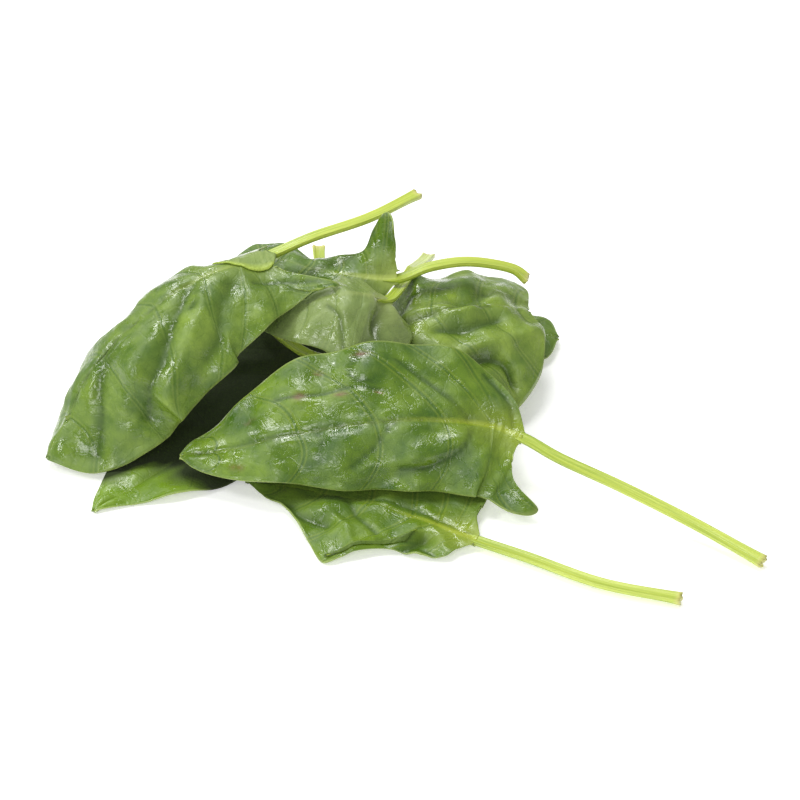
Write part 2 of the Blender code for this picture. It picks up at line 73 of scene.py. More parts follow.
@dataclass
class Leaf:
    """One leaf, in millimetres and degrees. Pairs are (left, right), seen from the stalk towards the tip, and
    a row of angles is spread evenly from the stalk to the tip."""

    name: str
    stalk: tuple  # points from the cut end to the blade
    midrib: tuple  # points from the stalk to the tip
    halves: tuple  # each half's margin laid flat: along the midrib from the stalk, and out from it
    roll: tuple = (0, 0)  # how far the blade leans to its right
    fold: tuple = ((0, 0), (0, 0))  # how far each half falls away at the midrib
    curl: tuple = ((30, 20), (30, 20))  # how much further it has turned down 30 mm out
    wave: tuple = (1.2, 24.0, 0.0)  # height, length and phase of the waves along the margin
    crumple: float = 2.0  # height of the folds
    stalk_half_width: float = 1.9
    beneath: str = ""  # a leaf whose stalk this one's stalk runs under
    seed: int = 0
    creases: tuple = ()  # lines along which the flat blade stands up or sinks: points, height and width
    wrinkles: tuple = ()  # finer lines of the same kind
    bruises: tuple = ()  # places of bruises on the flat blade, with their length and width


# A side vein runs to each point of the margin, forward by VEIN_SLANT of its reach.
VEINS = 10
VEIN_SLANT = 0.6
VEIN_GAP = 2.0
ROW_BEND = 2.0
ROW_LEAD = 0.5
QUILT = 1.1
QUILT_GAP = 12.0
QUILT_CALM = 3.0
QUILT_FILL = 1.15
QUILT_BLUNT = 0.7
CRUMPLE_SIZE = 26.0
CRUMPLE_FROM = 10.0
SEED_STEP = 7.3
CALM_ROWS = 4
CREASE_POINTS = 40
WAVE_END = 0.15
WAVE_AHEAD = 2.0
CURL_REACH = 30.0
LEAST_BEND = 1e-5
BEYOND_TIP = 12.0
ROOM = 0.75
CLEARANCE = 0.45
RIB_DEPTH = 2.5
RIB_HALF_WIDTH = 2.0
RIB_TIP_DEPTH = 0.9
RIB_TIP_HALF_WIDTH = 0.8
RIB_TAPER = 1.5
RIB_EDGE = 1.15
COARSE_COLUMNS = (0.0, 0.09, 0.28, 0.47, 0.65, 0.83, 1.0)
COARSE_ROWS_A_VEIN = 2
STALK_STATIONS = 16
JOINT_GAP = 1.3
FEEL = 2.5
OVERHEAD = 500.0
STEEPEST = 0.35
STALK_ROOM = 0.3
EVENINGS = 40


def smooth_through(values, places):
    """A smooth curve through equally spaced values, read at places counted in those values."""
    values = np.asarray(values, float)
    last = len(values) - 1
    places = np.clip(np.asarray(places, float), 0, last)
    left = np.minimum(places.astype(int), last - 1)
    share = (places - left).reshape(places.shape + (1,) * (values.ndim - 1))
    before, start = values[np.maximum(left - 1, 0)], values[left]
    end, after = values[left + 1], values[np.minimum(left + 2, last)]
    leaving = np.where((left == 0).reshape(share.shape), end - start, (end - before) / 2)
    arriving = np.where((left == last - 1).reshape(share.shape), end - start, (after - start) / 2)
    cubed, squared = share**3, share**2
    return (
        (2 * cubed - 3 * squared + 1) * start
        + (cubed - 2 * squared + share) * leaving
        + (3 * squared - 2 * cubed) * end
        + (cubed - squared) * arriving
    )


def spread(values, share):
    """A row of values spread evenly from 0 to 1, read at a share."""
    return smooth_through(values, (len(values) - 1) * np.asarray(share))


def unit(vectors):
    return vectors / np.linalg.norm(vectors, axis=-1, keepdims=True)


class Spine:
    """The line along a leaf's upper face, from the cut end of its stalk to its tip."""

    FINE = 30

    def __init__(self, leaf):
        points = leaf.stalk[:-1] + leaf.midrib
        places = np.arange((len(points) - 1) * self.FINE + 1) / self.FINE
        self.at = smooth_through(points, places)
        steps = np.linalg.norm(np.diff(self.at, axis=0), axis=1)
        run = np.concatenate([[0], np.cumsum(steps)])
        self.stalk_length = run[(len(leaf.stalk) - 1) * self.FINE]
        self.blade_length = run[-1] - self.stalk_length
        self.run = run - self.stalk_length
        self.ahead = unit(np.gradient(self.at, run, axis=0))
        level = unit(np.array([0, 0, 1.0]) - self.ahead * self.ahead[:, 2:])
        right = np.cross(self.ahead, level)
        lean = np.radians(spread(leaf.roll, self.run / self.blade_length))[:, None]
        self.up = level * np.cos(lean) + right * np.sin(lean)
        self.right = np.cross(self.ahead, self.up)
        self.at = np.concatenate([self.at, [self.at[-1] + BEYOND_TIP * self.ahead[-1]]])
        self.run = np.append(self.run, self.run[-1] + BEYOND_TIP)
        self.ahead, self.up, self.right = (
            np.concatenate([vectors, vectors[-1:]]) for vectors in (self.ahead, self.up, self.right)
        )

    def read(self, vectors, x):
        return np.stack([np.interp(x, self.run, vectors[:, k]) for k in range(3)], axis=-1)

    def frame(self, x):
        """Point, right and up at a distance along the blade from the stalk's end."""
        return self.read(self.at, x), unit(self.read(self.right, x)), unit(self.read(self.up, x))


def vein_feet(halves):
    """Where the side veins leave the midrib. Each runs forward, and the first few start close up."""
    feet = np.mean([[x - VEIN_SLANT * y for x, y in half] for half in halves], axis=0)
    least = VEIN_GAP * np.arange(len(feet))
    return np.maximum.accumulate(np.maximum(feet, least))


def flat_place(leaf, length, station, across):
    """Where a mesh point lies on the flat blade: along the midrib, and out from it, right positive."""
    reach = np.abs(across)
    margins = [smooth_through(np.array(half) * (length / half[-1][0], 1), station) for half in leaf.halves]
    feet = vein_feet(leaf.halves) * length / leaf.halves[0][-1][0]
    foot = np.interp(station, np.arange(len(feet)), feet)
    margin = np.where((across < 0)[:, None], *margins)
    back = np.clip((foot - margin[:, 0]) / np.maximum(margin[:, 1], 1), 0, 1)
    x = foot + (margin[:, 0] - foot) * reach ** (1 + ROW_BEND * back)
    y = margin[:, 1] * reach * (1 + ROW_LEAD * back * (1 - reach))
    return x, np.copysign(y, across)


def turned_down(leaf, length, x, y):
    """Sideways and downward travel of a point that is y out on the curved half blade, and its slope there."""
    fold = np.radians(np.where(y < 0, *[spread(f, x / length) for f in leaf.fold]))
    curl = np.radians(np.where(y < 0, *[spread(c, x / length) for c in leaf.curl]))
    bend = curl / CURL_REACH
    bend = np.where(np.abs(bend) < LEAST_BEND, LEAST_BEND, bend)
    slope = fold + bend * np.abs(y)
    sideways = (np.sin(slope) - np.sin(fold)) / bend
    down = (np.cos(fold) - np.cos(slope)) / bend
    return sideways, down, slope


def bumps(x, y, size, place):
    """Soft bumps of about one size over flat places. Another place gives other bumps."""
    return np.array([noise.noise(Vector((a / size, b / size, place))) for a, b in zip(x, y)])


def relief(leaf, length, station, across, x, y):
    """Height of the quilting, the waves of the margin and the crumpling, off the smooth blade."""
    reach = np.abs(across)
    feet = vein_feet(leaf.halves)
    gap = np.interp(station, np.arange(VEINS) + 0.5, np.diff(feet))
    quilt = QUILT * np.clip((gap - QUILT_CALM) / QUILT_GAP, 0, 1) * np.sin(math.pi * station) ** 2
    quilt *= np.sin(math.pi * np.minimum(reach * QUILT_FILL, 1)) ** QUILT_BLUNT
    height, wavelength, phase = leaf.wave
    turn = 2 * math.pi * x / wavelength + math.radians(phase) + WAVE_AHEAD * across
    waves = height * reach**2 * np.sin(turn)
    waves *= np.clip((length - x) / (WAVE_END * length), 0, 1)
    folds = bumps(x, y, CRUMPLE_SIZE, SEED_STEP * leaf.seed)
    near_midrib = np.clip(np.abs(y) / CRUMPLE_FROM, 0, 1)
    calm = np.clip(station / CALM_ROWS, 0, 1)
    uneven = quilt + waves + leaf.crumple * folds * near_midrib
    return calm * uneven + crease_height(leaf.creases, x, y)


def crease_height(creases, x, y):
    """Height of the folds that run along the leaf's own crease lines."""
    height = np.zeros(len(x))
    for points, rise, width in creases:
        line = smooth_through(points, np.linspace(0, len(points) - 1, CREASE_POINTS))
        away = np.min(np.hypot(x[:, None] - line[:, 0], y[:, None] - line[:, 1]), axis=1)
        height += rise * np.exp(-((away / width) ** 2))
    return height


def rib_half_width(along):
    """Half the midrib's width, at a share of the blade's length."""
    return RIB_TIP_HALF_WIDTH + (RIB_HALF_WIDTH - RIB_TIP_HALF_WIDTH) * (1 - along)


def rib_depth(length, x, y, sheet):
    """The sheet's thickness, and under the midrib the midrib's depth too."""
    along = np.clip(x / length, 0, 1)
    depth = RIB_TIP_DEPTH + (RIB_DEPTH - RIB_TIP_DEPTH) * (1 - along) ** RIB_TAPER
    bulge = np.sqrt(np.clip(1 - (y / rib_half_width(along) / RIB_EDGE) ** 2, 0, 1))
    return sheet + (depth - sheet) * bulge


def grid(stations, shares):
    """Station and share of each point of a net, and the quads between them."""
    station, across = (part.ravel() for part in np.meshgrid(stations, shares, indexing="ij"))
    rows, columns = len(stations), len(shares)
    first = (np.arange(rows - 1)[:, None] * columns + np.arange(columns - 1)).ravel()
    return station, across, np.stack([first, first + columns, first + columns + 1, first + 1], axis=1)


COARSE_STATIONS = np.arange(VEINS * COARSE_ROWS_A_VEIN + 1) / COARSE_ROWS_A_VEIN
COARSE_SHARES = np.array([-share for share in COARSE_COLUMNS[:0:-1]] + list(COARSE_COLUMNS))


class LaidLeaf:
    """A leaf laid on the leaves under it: where its blade and stalk are, and how far each was lifted."""

    def __init__(self, leaf):
        self.leaf = leaf
        self.spine = Spine(leaf)
        self.length = self.spine.blade_length

    def surface(self, station, across):
        """Points, normals and flat places of the upper face, before the lift."""
        x, y = flat_place(self.leaf, self.length, station, across)
        at, right, up = self.spine.frame(x)
        sideways, down, slope = turned_down(self.leaf, self.length, x, y)
        out = right * np.sign(y)[:, None]
        normal = up * np.cos(slope)[:, None] + out * np.sin(slope)[:, None]
        raised = relief(self.leaf, self.length, station, across, x, y)
        return at + out * sideways[:, None] - up * down[:, None] + normal * raised[:, None], normal, x, y

    def lay(self, under):
        """Lifts a coarse net of the leaf smoothly until it clears the table and the leaves under it."""
        station, across, quads = grid(COARSE_STATIONS, COARSE_SHARES)
        blade, normal, x, y = self.surface(station, across)
        self.stalk_x = np.linspace(-self.spine.stalk_length, -JOINT_GAP, STALK_STATIONS)
        stalk, side, _ = self.spine.frame(self.stalk_x)
        points = np.concatenate([blade, stalk])
        depth = np.concatenate([rib_depth(self.length, x, y, ROOM), np.full(STALK_STATIONS, RIB_DEPTH)])
        rise = np.concatenate([np.clip(normal[:, 2], STEEPEST, 1), np.ones(STALK_STATIONS)])
        every = [tree for one in under for tree in one.trees]
        free = [tree for one in under if one.leaf.name != self.leaf.beneath for tree in one.trees]
        met = [every] * len(blade) + [free] * STALK_STATIONS
        need = np.array([needed_lift(*values) for values in zip(points, depth, rise, met)])
        pairs = {tuple(sorted((q[k], q[k - 1]))) for q in quads.tolist() for k in range(4)}
        pairs |= {(len(blade) + k, len(blade) + k + 1) for k in range(STALK_STATIONS - 1)}
        pairs |= {(k, len(points) - 1) for k in np.flatnonzero(station == 0).tolist()}
        pairs = np.array(sorted(pairs))
        count = np.bincount(pairs.ravel(), minlength=len(points))
        lift = need.copy()
        for _ in range(EVENINGS):
            total = np.zeros(len(points))
            np.add.at(total, pairs[:, 0], lift[pairs[:, 1]])
            np.add.at(total, pairs[:, 1], lift[pairs[:, 0]])
            lift = np.maximum(need, 0.5 * lift + 0.5 * total / count)
        tip = np.flatnonzero(station == VEINS)
        lift[tip] = lift[tip].max()
        self.blade_lift = lift[: len(blade)].reshape(len(COARSE_STATIONS), len(COARSE_SHARES))
        self.stalk_lift = lift[len(blade) :]
        blade[:, 2] += lift[: len(blade)]
        stalk[:, 2] += self.stalk_lift
        edge = side * (self.leaf.stalk_half_width + STALK_ROOM)
        strip = np.concatenate([stalk + edge, stalk - edge])
        n = STALK_STATIONS
        strip_quads = [(k, k + 1, n + k + 1, n + k) for k in range(n - 1)]
        self.trees = (
            BVHTree.FromPolygons([Vector(p) for p in blade], quads.tolist()),
            BVHTree.FromPolygons([Vector(p) for p in strip], strip_quads),
        )
        self.coarse = blade


def top_at(tree, x, y):
    """Height of the highest face at a place, or None where there is none."""
    hit = tree.ray_cast(Vector((x, y, OVERHEAD)), Vector((0, 0, -1)))[0]
    return None if hit is None else hit.z


def needed_lift(point, depth, rise, under):
    """How far a point must go up to clear the table and whatever is below it or beside it."""
    need = max(0.0, depth - point[2])
    room = depth + CLEARANCE / rise + ROOM * (1 / rise - 1)
    for dx, dy in ((0, 0), (FEEL, 0), (-FEEL, 0), (0, FEEL), (0, -FEEL)):
        for tree in under:
            top = top_at(tree, point[0] + dx, point[1] + dy)
            if top is not None:
                need = max(need, top + room - point[2])
    return need


# The finer net of a blade: its rows and columns, its real thickness, and the relief that veins give it.
BLUNT_TIP = 0.06
FINE_ROWS = 131
FINE_HALF_COLUMNS = 34
MIDRIB_CROWD = 1.25
FINE_STATIONS = np.linspace(0, VEINS - BLUNT_TIP, FINE_ROWS)
FINE_HALF = (np.arange(FINE_HALF_COLUMNS + 1) / FINE_HALF_COLUMNS) ** MIDRIB_CROWD
FINE_SHARES = np.concatenate([-FINE_HALF[:0:-1], FINE_HALF])
LEAF_SHEET = 0.5
VEIN_BEND = 0.16
VEIN_BEND_ROWS = 3
VEIN_DEEP = 0.28
VEIN_HALF_WIDTH = 0.7
VEIN_FADE = 0.7
DEEP_GAP = 5.0
LEAST_GAP = 0.01
OFF_ZERO = 1e-9
UNDER_VEIN = 0.35
PUCKER = 0.85
PUCKER_SIZE = 8.0
PUCKER_PLACE = 40.0
RIPPLE = 0.26
RIPPLE_SIZE = 3.0
RIPPLE_PLACE = 80.0
FINE_SEED_STEP = 3.1
SMOOTH_MIDRIB = 4.0
SMOOTH_MARGIN = 12.0
MARGIN_PUCKER = 0.3
SHADE_BAND_WIDTH = 0.6
CREASE_SHADE = 0.6
PATTERN_STEP = 11.0


def give(mesh, **layers):
    """Stores values for each point of a mesh, for its material."""
    for name, values in layers.items():
        values = np.asarray(values, float)
        kind, field = ("FLOAT_VECTOR", "vector") if values.ndim == 2 else ("FLOAT", "value")
        mesh.attributes.new(name, kind, "POINT").data.foreach_set(field, values.ravel())


def placed(name, data):
    """An object in the scene with this mesh, lamp or camera."""
    thing = bpy.data.objects.new(name, data)
    bpy.context.scene.collection.objects.link(thing)
    return thing


def made_mesh(name, form):
    """The mesh of a finished form."""
    mesh = bpy.data.meshes.new(name)
    form.to_mesh(mesh)
    form.free()
    return mesh


def sheet_mesh(name, points, quads):
    """A smooth sheet through points in millimetres, with its upper face up."""
    sheet = bmesh.new()
    for point in points:
        sheet.verts.new(Vector(point) * MM)
    sheet.verts.ensure_lookup_table()
    for quad in quads:
        sheet.faces.new([sheet.verts[k] for k in quad])
    mesh = made_mesh(name, sheet)
    if sum(face.normal.z * face.area for face in mesh.polygons) < 0:
        mesh.flip_normals()
    mesh.shade_smooth()
    return mesh


def on_fine_net(coarse):
    """Values of the coarse net, read smoothly at the points of the fine one."""
    rows = smooth_through(coarse, FINE_STATIONS * COARSE_ROWS_A_VEIN)
    columns = np.interp(FINE_SHARES, COARSE_SHARES, np.arange(len(COARSE_SHARES)))
    return smooth_through(rows.T, columns).T.ravel()


def blade_piece(laid, faces):
    """The blade as one thick sheet with its veins, puckers, creases and midrib."""
    leaf, length = laid.leaf, laid.length
    station, across, quads = grid(FINE_STATIONS, FINE_SHARES)
    points, normal, x, y = laid.surface(station, across)
    shape = (len(FINE_STATIONS), len(FINE_SHARES))
    points[:, 2] += on_fine_net(laid.blade_lift)

    reach = np.abs(across)
    vein = station + VEIN_BEND * np.sin(math.pi * reach) * np.clip(station / VEIN_BEND_ROWS, 0, 1)
    flat = np.stack([x.reshape(shape), y.reshape(shape)], axis=-1)
    along = np.gradient(flat, FINE_STATIONS, axis=0)
    outward = unit(np.gradient(flat, FINE_SHARES, axis=1) + OFF_ZERO)
    gap = np.abs(along[..., 0] * outward[..., 1] - along[..., 1] * outward[..., 0]).ravel()
    vein_away = np.abs(vein - np.round(vein)) * np.maximum(gap, LEAST_GAP)
    strength = np.clip((gap - QUILT_CALM) / DEEP_GAP, 0, 1) * (1 - VEIN_FADE * reach)
    vein_dip = strength * np.exp(-((vein_away / VEIN_HALF_WIDTH) ** 2))
    pucker = bumps(x, y, PUCKER_SIZE, FINE_SEED_STEP * leaf.seed + PUCKER_PLACE)
    ripple = bumps(x, y, RIPPLE_SIZE, FINE_SEED_STEP * leaf.seed + RIPPLE_PLACE)
    free = np.clip(np.abs(y) / SMOOTH_MIDRIB, 0, 1) * np.clip((1 - reach) * SMOOTH_MARGIN, MARGIN_PUCKER, 1)
    raised = free * (PUCKER * pucker + RIPPLE * ripple) - VEIN_DEEP * vein_dip
    raised += crease_height(leaf.wrinkles, x, y)
    points += normal * raised[:, None]

    bruise = np.zeros(len(x))
    for along_it, out, long, wide in leaf.bruises:
        spot = np.exp(-(((x - along_it) / long) ** 2) - ((y - out) / wide) ** 2)
        bruise = np.maximum(bruise, spot)
    # Painted shade: a dark band along each sunk wrinkle and crease, stored for the colour.
    sunk = [(line, -1.0, SHADE_BAND_WIDTH * width) for line, rise, width in leaf.wrinkles if rise < 0]
    sunk += [(line, -CREASE_SHADE, SHADE_BAND_WIDTH * width) for line, rise, width in leaf.creases if rise < 0]
    share = np.clip(x / length, 0, 1)
    mesh = sheet_mesh(leaf.name + "_leaf", points, quads)
    give(
        mesh,
        vein=vein,
        vein_gap=np.maximum(gap, LEAST_GAP),
        flat=np.stack([x, y, np.full(len(x), PATTERN_STEP * leaf.seed)], axis=1),
        rib=np.abs(y) / rib_half_width(share),
        along=share,
        reach=reach,
        bruise=bruise,
        groove=np.minimum(-crease_height(sunk, x, y), 1),
    )
    for face in faces:
        mesh.materials.append(face)
    piece = placed(leaf.name + "_leaf", mesh)
    thickness = rib_depth(length, x, y, LEAF_SHEET) + UNDER_VEIN * vein_dip
    swell = piece.vertex_groups.new(name="swell")
    for k, weight in enumerate(np.clip((thickness - LEAF_SHEET) / (RIB_DEPTH - LEAF_SHEET), 0, 1)):
        swell.add([k], weight, "REPLACE")
    solid = piece.modifiers.new("thickness", "SOLIDIFY")
    solid.thickness = RIB_DEPTH * MM
    solid.offset = -1
    solid.vertex_group = swell.name
    solid.thickness_vertex_group = LEAF_SHEET / RIB_DEPTH
    solid.material_offset = 1
    solid.material_offset_rim = 0
    return piece


# The stalk's skin: closely ribbed lengthwise, with two shoulders and a groove on top, torn off ragged.
SKIN_STATIONS = 70
SKIN_SIDES = 40
SKIN_RIBS = 11
SKIN_RIB_HEIGHT = 0.035
STALK_SLIMMER = 0.2
LATE_WIDENING = 4
CUT_FLARE = 0.2
CUT_FLARE_REACH = 0.06
SHOULDER_RISE = 0.35
SHOULDER_GROOVE = 1.2
BELLY_DEPTH = RIB_DEPTH - 0.15
TORN = 0.9
TORN_RINGS = 2
TORN_FINENESS = 2.2
TORN_SEED_STEP = 5.0
CUT_HOLLOW = 0.35
CUT_HOLLOW_SHARE = 0.6
INTO_BLADE = 5.0
SUNK_TOP = 0.7
SUNK_BELLY = 0.45
SUNK_SIDES = 0.4


def stalk_piece(laid):
    """The stalk, from its torn end into the underside of the blade."""
    leaf, spine = laid.leaf, laid.spine
    x = np.linspace(-spine.stalk_length, INTO_BLADE, SKIN_STATIONS)
    at, right, up = spine.frame(x)
    lifts = np.append(laid.stalk_lift, laid.blade_lift[0].mean())
    at[:, 2] += np.interp(x, np.append(laid.stalk_x, 0), lifts)
    along = np.clip((x - x[0]) / (-JOINT_GAP - x[0]), 0, 1)
    widening = RIB_HALF_WIDTH - STALK_SLIMMER - leaf.stalk_half_width
    half_width = leaf.stalk_half_width + widening * along**LATE_WIDENING
    flare = 1 + CUT_FLARE * np.exp(-along / CUT_FLARE_REACH)
    sunk = np.clip(x / INTO_BLADE, 0, 1)
    turn = np.arange(SKIN_SIDES) * 2 * math.pi / SKIN_SIDES
    ribbed = 1 + SKIN_RIB_HEIGHT * np.cos(SKIN_RIBS * turn)
    across, height = np.cos(turn) * ribbed, np.sin(turn) * ribbed
    tube = bmesh.new()
    rings, turns, runs = [], [], []
    for k in range(SKIN_STATIONS):
        shoulders = SHOULDER_RISE * half_width[k] * height * (1 - SHOULDER_GROOVE * height**2)
        belly = BELLY_DEPTH * height * (1 - SUNK_BELLY * sunk[k])
        ring_up = np.where(height > 0, shoulders - SUNK_TOP * sunk[k], belly) * flare[k]
        ring_out = across * half_width[k] * flare[k] * (1 - SUNK_SIDES * sunk[k])
        ring = at[k] + ring_out[:, None] * right[k] + ring_up[:, None] * up[k]
        if k < TORN_RINGS:
            tear = bumps(TORN_FINENESS * across, TORN_FINENESS * height, 1, TORN_SEED_STEP * leaf.seed)
            ring = ring - spine.read(spine.ahead, x[k]) * (TORN * tear * (1 - k / TORN_RINGS))[:, None]
        rings.append([tube.verts.new(Vector(p) * MM) for p in ring])
        turns += list(turn / (2 * math.pi))
        runs += [x[k] - x[0]] * SKIN_SIDES
    for ring, following in zip(rings, rings[1:]):
        for k in range(SKIN_SIDES):
            tube.faces.new((ring[k - 1], ring[k], following[k], following[k - 1]))
    for ring, deep in ((rings[0], CUT_HOLLOW), (rings[-1], 0.0)):
        middle = sum((v.co for v in ring), Vector()) / SKIN_SIDES
        inner = [tube.verts.new(middle + (v.co - middle) * CUT_HOLLOW_SHARE) for v in ring]
        centre = tube.verts.new(middle + Vector(spine.read(spine.ahead, x[0])) * deep * MM)
        for k in range(SKIN_SIDES):
            tube.faces.new((ring[k - 1], ring[k], inner[k], inner[k - 1]))
            tube.faces.new((inner[k - 1], inner[k], centre))
        turns += [0.5] * (SKIN_SIDES + 1)
        runs += [runs[0] if deep else runs[-1]] * (SKIN_SIDES + 1)
    bmesh.ops.recalc_face_normals(tube, faces=tube.faces)
    mesh = made_mesh(leaf.name + "_petiole", tube)
    mesh.shade_smooth()
    give(mesh, turn=turns, run=runs, near_blade=np.clip(np.array(runs) / spine.stalk_length, 0, 1))
    mesh.materials.append(stalk_skin)
    return placed(leaf.name + "_petiole", mesh)


# Painted shade: where other leaves lie close above, the heap is dark. Each blade gets the share of the sky
# that they hide from it, and there its colour is darkened towards near black and its skin made dull.
SKY_RINGS = ((80, 4), (55, 8), (30, 10))
SKY_REACH = 70.0
SKY_START = 1.2


def sky_ways():
    """Directions spread over the sky, each as good as the next."""
    ways = []
    for height, count in SKY_RINGS:
        for k in range(count):
            way = 2 * math.pi * (k + height / 90) / count
            level, rise = math.cos(math.radians(height)), math.sin(math.radians(height))
            ways.append(Vector((level * math.cos(way), level * math.sin(way), rise)))
    return ways


def give_shelter(leaves):
    """Stores on each blade how much of the sky the other leaves hide from it, for its painted shade."""
    ways = sky_ways()
    for laid, blade, _ in leaves:
        others = [one.trees[0] for one, _, _ in leaves if one is not laid]
        hidden = np.zeros(len(laid.coarse))
        for k, point in enumerate(laid.coarse):
            for way in ways:
                start = Vector(point) + way * SKY_START
                hidden[k] += any(tree.ray_cast(start, way, SKY_REACH)[0] is not None for tree in others)
        hidden = hidden.reshape(laid.blade_lift.shape) / len(ways)
        give(blade.data, shelter=np.clip(on_fine_net(hidden), 0, 1))


# Leaf skin: living green between a net of veins, paler along them, with a wet film that pools in patches.
# Painted light makes the shoulders beside the side veins paler; painted shade darkens the side veins, the
# sunk wrinkles and creases, and the places that other leaves hide from the sky.


class Nodes:
    """Short ways to place and join shader nodes in one tree."""

    def __init__(self, tree):
        self.tree = tree
        tree.nodes.clear()

    def put(self, kind, inputs=(), **settings):
        node = self.tree.nodes.new("ShaderNode" + kind)
        for key, value in settings.items():
            setattr(node, key, value)
        for key, value in dict(inputs).items():
            self.set(node.inputs[key], value)
        return node

    def set(self, socket, value):
        if isinstance(value, bpy.types.NodeSocket):
            self.tree.links.new(value, socket)
        else:
            socket.default_value = value

    def math(self, operation, a, b=0.0, clamp=False):
        return self.put("Math", {0: a, 1: b}, operation=operation, use_clamp=clamp).outputs[0]

    def times(self, a, b):
        return self.math("MULTIPLY", a, b)

    def plus(self, a, b):
        return self.math("ADD", a, b)

    def between(self, value, low, high, start=0.0, end=1.0):
        ends = {"From Min": low, "From Max": high, "To Min": start, "To Max": end}
        return self.put("MapRange", {"Value": value, **ends}).outputs[0]

    def mix(self, share, a, b):
        node = self.tree.nodes.new("ShaderNodeMix")
        node.data_type = "RGBA"
        for socket, value in ((node.inputs[0], share), (node.inputs[6], a), (node.inputs[7], b)):
            self.set(socket, value)
        return node.outputs[2]

    def clouds(self, place, scale, detail, rough=0.5, output="Fac"):
        values = {"Vector": place, "Scale": scale, "Detail": detail, "Roughness": rough}
        return self.put("TexNoise", values).outputs[output]

    def read(self, name, output="Fac"):
        return self.put("Attribute", attribute_name=name).outputs[output]


# The dark green of the painted shade in the sunk wrinkles and creases.
CREASE_SHADE_GREEN = (0.02, 0.045, 0.004, 1)
# The near black of the painted shade under other leaves.
PAINTED_SHADE_GREEN = (0.010, 0.018, 0.003, 1)


